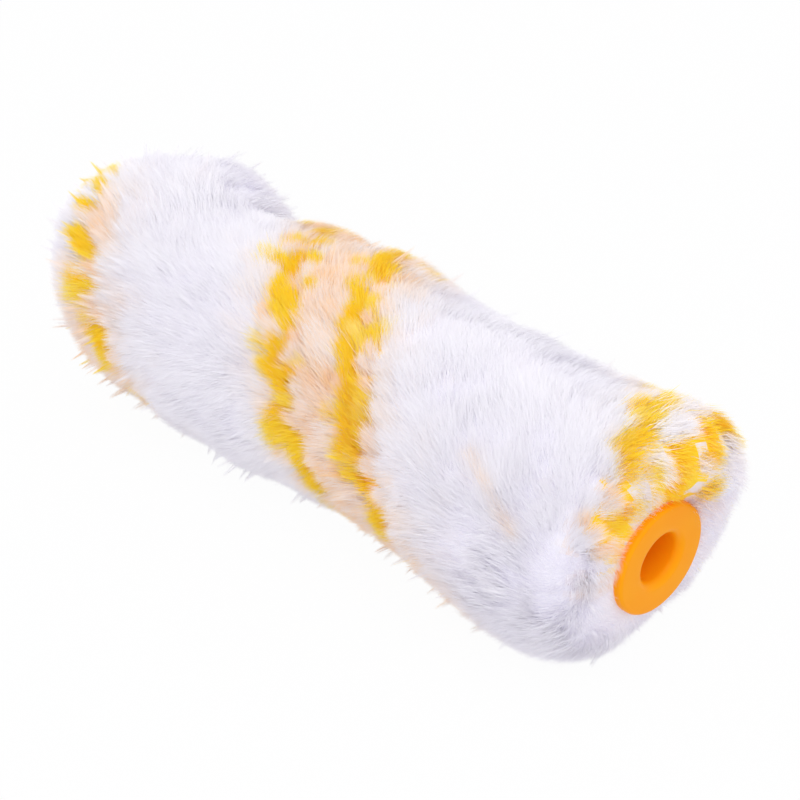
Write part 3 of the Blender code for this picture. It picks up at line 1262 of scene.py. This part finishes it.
@dataclass
class EndCap:
    """A moulded cap: a flange with a rounded rim, a bell-mouthed bore and the walls behind the flange."""

    node: str
    outward: int
    flange_thickness: float = 1.5
    rim_rounding: float = 0.5
    bore_radius: float = 3.5
    bell_radius: float = 1.2
    bearing_wall: float = 1.0
    bearing_length: float = 16.0
    spigot_radius: float = 5.9
    spigot_wall: float = 0.8
    spigot_length: float = 10.0
    segments: int = 128
    arc_steps: int = 10
    sharp_angle: float = 40.0

    def outline(self, flange_radius: float) -> list[tuple[float, float]]:
        """Return the cap's outline from the bore's inner end, with x = 0 on the flange's outer face.

        Args:
            flange_radius: Radius of the flange.

        Returns:
            Places along the axis, outward, and radii, round the whole section.
        """
        quarter = [math.pi / 2 * i / self.arc_steps for i in range(self.arc_steps + 1)]
        bell, rim = self.bell_radius, self.rim_rounding
        mouth = [
            (bell * (math.sin(turn) - 1.0), self.bore_radius + bell * (1.0 - math.cos(turn)))
            for turn in quarter
        ]
        edge = [
            (rim * (math.cos(turn) - 1.0), flange_radius - rim * (1.0 - math.sin(turn)))
            for turn in quarter
        ]
        inner_face = -self.flange_thickness
        spigot_inner = self.spigot_radius - self.spigot_wall
        bearing_outer = self.bore_radius + self.bearing_wall
        return [
            *mouth,
            *edge,
            (inner_face, flange_radius),
            (inner_face, self.spigot_radius),
            (inner_face - self.spigot_length, self.spigot_radius),
            (inner_face - self.spigot_length, spigot_inner),
            (inner_face, spigot_inner),
            (inner_face, bearing_outer),
            (inner_face - self.bearing_length, bearing_outer),
            (inner_face - self.bearing_length, self.bore_radius),
        ]

    def build(self) -> None:
        """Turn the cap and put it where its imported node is."""
        low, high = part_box(self.node)
        middle = (low + high) / 2
        face = high.x if self.outward > 0 else low.x
        flange_radius = (high.y - low.y) / 2 / MM
        outline = self.outline(flange_radius)
        points, faces = [], []
        for i in range(self.segments):
            turn = TURN * i / self.segments
            for x, radius in outline:
                across, up = radius * MM * math.cos(turn), radius * MM * math.sin(turn)
                points.append((face + self.outward * x * MM, middle.y + across, middle.z + up))
        size = len(outline)
        for i in range(self.segments):
            for j in range(size):
                a, b = i * size + j, i * size + (j + 1) % size
                c, d = (a + size) % len(points), (b + size) % len(points)
                faces.append((a, b, d, c) if self.outward < 0 else (a, c, d, b))
        mesh = bpy.data.meshes.new(f"{self.node}_moulding")
        mesh.from_pydata(points, [], faces)
        mesh.shade_smooth()
        mesh.set_sharp_from_angle(angle=math.radians(self.sharp_angle))
        add_piece(f"{self.node}_moulding", mesh, ORANGE_CAP, [self.node])


@dataclass
class PackedPart:
    """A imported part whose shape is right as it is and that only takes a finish."""

    node: str
    finish: Finish

    def dress(self) -> None:
        """Give the part its finish."""
        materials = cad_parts[self.node].data.materials
        materials.clear()
        materials.append(self.finish.material())
        log.info("%s: %s", self.node, self.finish.name)


@dataclass
class Studio:
    """Floor, light and camera."""

    floor_size: float = 6000.0
    azimuth: float = 45.0
    elevation: float = 36.0
    distance: float = 330.0
    aim: tuple[float, float, float] = (7.38, -2.58, 21.82)
    lens: float = 109.44
    sensor: float = 36.0
    sky_strength: float = 0.92
    sky_colour: str = "#FBFAFD"
    key_watts: float = 1.1
    key_size: float = 600.0
    key_place: tuple[float, float, float] = (160.0, -200.0, 540.0)
    light_bounces: int = 12

    def build(self) -> None:
        """Set up the whole studio."""
        self.lay_floor()
        self.light_world()
        self.hang_key_light()
        self.place_camera()
        bpy.context.scene.view_settings.view_transform = "Standard"
        # White fibres hand light on to each other many times. With few bounces the pile would look grey.
        bpy.context.scene.cycles.diffuse_bounces = self.light_bounces

    def lay_floor(self) -> None:
        """Lay the sheet of paper that the roller lies on."""
        half = self.floor_size / 2 * MM
        mesh = bpy.data.meshes.new("paper_floor")
        corners = [(-half, -half, 0), (half, -half, 0), (half, half, 0), (-half, half, 0)]
        mesh.from_pydata(corners, [], [(0, 1, 2, 3)])
        mesh.materials.append(WHITE_PAPER.material())
        floor = add_object("paper_floor", mesh)

    def light_world(self) -> None:
        """Light the room evenly, and show it as plain white."""
        world = bpy.data.worlds.new("white_room")
        world.use_nodes = True
        tree = world.node_tree
        tree.nodes.clear()
        light = add_node(
            tree,
            "ShaderNodeBackground",
            {"Color": linear_colour(self.sky_colour), "Strength": self.sky_strength},
        )
        white = add_node(tree, "ShaderNodeBackground", {"Color": (1.0, 1.0, 1.0, 1.0), "Strength": 1.0})
        mix = add_node(
            tree,
            "ShaderNodeMixShader",
            {0: backdrop_seen(tree), 1: light.outputs["Background"], 2: white.outputs["Background"]},
        )
        add_node(tree, "ShaderNodeOutputWorld", {"Surface": mix.outputs["Shader"]})
        bpy.context.scene.world = world

    def hang_key_light(self) -> None:
        """Hang a large soft lamp over the roller."""
        lamp = bpy.data.lights.new("overhead_softbox", "AREA")
        lamp.shape = "DISK"
        lamp.size = self.key_size * MM
        lamp.energy = self.key_watts
        softbox = add_object("overhead_softbox", lamp)
        softbox.location = Vector(self.key_place) * MM
        softbox.rotation_mode = "QUATERNION"
        towards = Vector(self.aim) * MM - softbox.location
        softbox.rotation_quaternion = towards.to_track_quat("-Z", "Y")

    def place_camera(self) -> None:
        """Put the camera where the photograph was taken from."""
        turn, rise = math.radians(self.azimuth), math.radians(self.elevation)
        level = math.cos(rise)
        back = Vector((math.sin(turn) * level, -math.cos(turn) * level, math.sin(rise)))
        lens = bpy.data.cameras.new("product_camera")
        lens.sensor_width = self.sensor
        lens.lens = self.lens
        camera = add_object("product_camera", lens)
        camera.location = (Vector(self.aim) + back * self.distance) * MM
        camera.rotation_mode = "QUATERNION"
        camera.rotation_quaternion = (-back).to_track_quat("-Z", "Y")
        bpy.context.scene.camera = camera


def main() -> None:
    """Dress the roller from its core outwards, then set up the studio."""
    logging.basicConfig(level=logging.INFO, format="%(name)s: %(message)s")
    PackedPart("core_tube", NATURAL_CORE).dress()
    PackedPart("backing_strip", KNIT_BACKING).dress()
    EndCap("near_end_cap", 1).build()
    EndCap("far_end_cap", -1).build()
    core_low, core_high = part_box("core_tube")
    backing_low, backing_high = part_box("backing_strip")
    pile_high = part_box(Band.WHITE_WIDE.value)[1]
    envelope = PileEnvelope(
        root_radius=(backing_high.y - backing_low.y) / 2 / MM,
        half_length=pile_high.x / MM,
        axis_height=(core_low.z + core_high.z) / 2 / MM,
    )
    PlushPile(envelope, StripePattern()).build()
    Studio().build()


if __name__ == "__main__":
    main()
